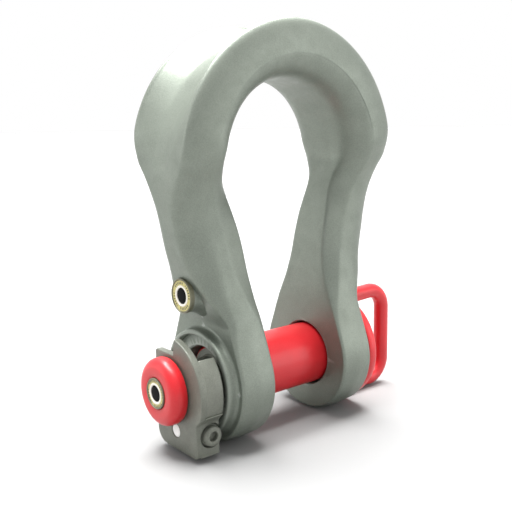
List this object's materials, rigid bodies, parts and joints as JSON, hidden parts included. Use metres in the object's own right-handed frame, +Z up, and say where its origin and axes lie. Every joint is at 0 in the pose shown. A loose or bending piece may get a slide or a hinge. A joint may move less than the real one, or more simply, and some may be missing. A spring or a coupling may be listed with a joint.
{
  "type": "wide body bow shackle",
  "caption": "Wide-body bow shackle with a captive round pin, pull handle and slide-off keeper, for joining a heavy sling to a lifting point.",
  "frame": {"origin": "on the pin's axis, midway between the inner faces of the two ears", "axes": "+X along the pin from the keeper to the handle, +Y across the bow towards the keeper's open side, +Z up from the pin to the crown"},
  "size_m": [0.348, 0.134, 0.439],
  "materials": {
    "bow_coating": "satin grey zinc-rich coating over forged steel",
    "red_paint": "glossy red paint",
    "keeper_coating": "satin dark grey coating over cast steel",
    "zinc_plate": "bright zinc plate",
    "tag_cup": "dark grey",
    "tag_label": "matt olive print with plain tick marks",
    "tag_core": "black moulded"
  },
  "bodies": {
    "bow": {"bow": "bow_coating", "thread_insert": "zinc_plate", "bow_tag_cup": "tag_cup", "bow_tag_label": "tag_label", "bow_tag_bezel": "zinc_plate", "bow_tag_core": "tag_core"},
    "pin": {"pin": "red_paint", "handle": "red_paint", "handle_welds": "red_paint", "pin_tag_cup": "tag_cup", "pin_tag_label": "tag_label", "pin_tag_bezel": "zinc_plate", "pin_tag_core": "tag_core"},
    "keeper": {"keeper": "keeper_coating", "bolt_bush": "zinc_plate", "sight_plug": "zinc_plate"},
    "bolt_washer": {"lock_washer": "zinc_plate"},
    "lock_bolt": {"lock_bolt": "keeper_coating", "retaining_ring": "zinc_plate"}
  },
  "joints": [
    {"name": "pin_turn", "type": "hinge", "parent": "bow", "child": "pin", "pos_m": [0, 0, 0], "axis": [1, 0, 0], "continuous": true},
    {"name": "keeper_slide", "type": "slide", "parent": "bow", "child": "keeper", "axis": [0, -1, 0], "range_m": [0, 0.064]},
    {"name": "bolt_travel", "type": "slide", "parent": "keeper", "child": "bolt_washer", "axis": [0, -1, 0], "range_m": [0, 0.024]},
    {"name": "bolt_turn", "type": "hinge", "parent": "bolt_washer", "child": "lock_bolt", "pos_m": [-0.1185, -0.046, -0.04], "axis": [0, -1, 0], "range_deg": [0, 4321]}
  ],
  "couplings": [
    {"joint": "bolt_turn", "follows": "bolt_travel", "rad_per_m": 3141.6}
  ]
}
